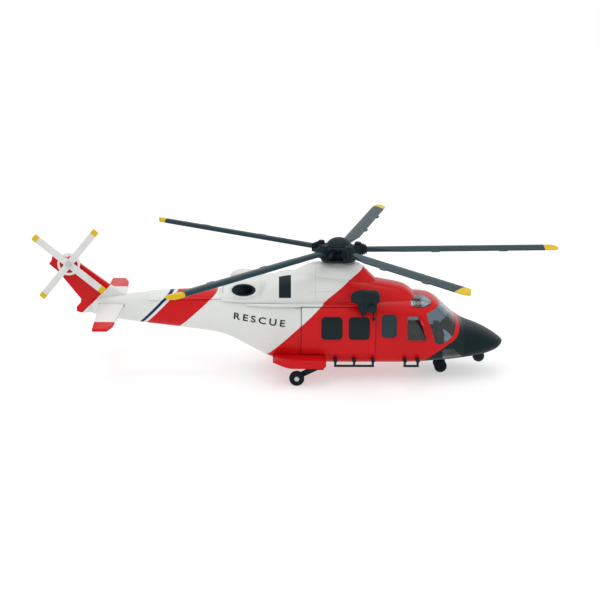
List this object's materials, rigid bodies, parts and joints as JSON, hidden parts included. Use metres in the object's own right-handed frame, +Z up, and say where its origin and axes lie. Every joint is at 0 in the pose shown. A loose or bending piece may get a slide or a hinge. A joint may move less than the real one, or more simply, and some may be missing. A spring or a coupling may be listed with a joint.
{
  "type": "helicopter scale model",
  "caption": "Collector's scale model of a twin-engined rescue helicopter in red and white, with turning rotors, rolling wheels, sliding cabin doors and a winch.",
  "frame": {"origin": "mouth of the display-stand screw hole in the belly, 2 mm ahead of the main rotor's axis; the floor under the wheels is 10 mm below it", "axes": "+X to the nose, +Y to port, +Z up along the main rotor mast"},
  "size_m": [0.3373, 0.2663, 0.0958],
  "materials": {
    "painted_red_white": "gloss red and white paint",
    "gloss_black": "gloss black moulding",
    "satin_black": "satin black moulding",
    "blade_grey": "satin dark grey-green with yellow tips",
    "white_plastic": "gloss white with yellow tips",
    "clear_pane": "clear moulding",
    "dark_pane": "gloss black pane",
    "smoked_pane": "smoked clear moulding",
    "tyre_black": "satin black wheel",
    "bright_pin": "bright steel pin",
    "interior_grey": "grey interior moulding",
    "screw_steel": "zinc-plated screw",
    "bearing_plastic": "natural plastic bearing"
  },
  "bodies": {
    "fuselage": {"belly_plate": "painted_red_white", "belly_screws": "screw_steel", "boarding_steps_port": "satin_black", "boarding_steps_starboard": "satin_black", "boom_top_cover": "painted_red_white", "cabin_floor": "interior_grey", "cabin_window_port": "smoked_pane", "cabin_window_starboard": "smoked_pane", "camera_turret": "satin_black", "chin_window_port": "clear_pane", "chin_window_starboard": "clear_pane", "cockpit_window_port": "clear_pane", "cockpit_window_starboard": "clear_pane", "engine_cowl": "painted_red_white", "exhaust_port": "satin_black", "exhaust_starboard": "satin_black", "eyebrow_window_port": "clear_pane", "eyebrow_window_starboard": "clear_pane", "front_bench": "interior_grey", "instrument_panel": "interior_grey", "intake_grille_port": "satin_black", "intake_grille_starboard": "satin_black", "lower_fuselage_shell": "painted_red_white", "main_axle_pins": "bright_pin", "main_gear_leg_port": "satin_black", "main_gear_leg_starboard": "satin_black", "mast_bearing": "bearing_plastic", "mast_bush": "bearing_plastic", "nose_cone": "gloss_black", "nose_gear_leg": "satin_black", "pilot_seat_port": "interior_grey", "pilot_seat_starboard": "interior_grey", "rear_bench": "interior_grey", "rear_bulkhead": "interior_grey", "rescue_hoist": "satin_black", "sponson_port": "painted_red_white", "sponson_starboard": "painted_red_white", "tail_fin": "painted_red_white", "tail_rotor_pin": "bright_pin", "tailplane": "painted_red_white", "windshield_port": "clear_pane", "windshield_starboard": "clear_pane"},
    "main_rotor": {"rotor_mast": "bright_pin", "rotor_hub": "satin_black", "rotor_hub_cap": "satin_black", "rotor_blade_1": "blade_grey", "rotor_blade_2": "blade_grey", "rotor_blade_3": "blade_grey", "rotor_blade_4": "blade_grey", "rotor_blade_5": "blade_grey"},
    "tail_rotor_body": {"tail_rotor": "white_plastic"},
    "door_starboard": {"sliding_door_starboard": "painted_red_white", "door_windows_starboard": "dark_pane"},
    "door_port": {"sliding_door_port": "painted_red_white", "door_windows_port": "dark_pane"},
    "wheel_starboard": {"main_wheel_starboard": "tyre_black"},
    "wheel_port": {"main_wheel_port": "tyre_black"},
    "nose_wheel_pair": {"nose_wheel_starboard": "tyre_black", "nose_wheel_port": "tyre_black", "nose_axle": "bright_pin"}
  },
  "joints": [
    {"name": "main_rotor_spin", "type": "hinge", "parent": "fuselage", "child": "main_rotor", "pos_m": [-0.002, 0, 0.0712], "axis": [0, 0, 1], "continuous": true},
    {"name": "tail_rotor_spin", "type": "hinge", "parent": "fuselage", "child": "tail_rotor_body", "pos_m": [-0.1732, -0.0084, 0.0631], "axis": [0, -1, 0], "continuous": true},
    {"name": "starboard_door_slide", "type": "slide", "parent": "fuselage", "child": "door_starboard", "axis": [-1, 0, 0], "range_m": [0, 0.034]},
    {"name": "port_door_slide", "type": "slide", "parent": "fuselage", "child": "door_port", "axis": [-1, 0, 0], "range_m": [0, 0.034]},
    {"name": "starboard_wheel_roll", "type": "hinge", "parent": "fuselage", "child": "wheel_starboard", "pos_m": [-0.0287, -0.031, -0.0052], "axis": [0, 1, 0], "continuous": true},
    {"name": "port_wheel_roll", "type": "hinge", "parent": "fuselage", "child": "wheel_port", "pos_m": [-0.0287, 0.031, -0.0052], "axis": [0, 1, 0], "continuous": true},
    {"name": "nose_wheels_roll", "type": "hinge", "parent": "fuselage", "child": "nose_wheel_pair", "pos_m": [0.0657, 0, -0.0059], "axis": [0, 1, 0], "continuous": true}
  ]
}
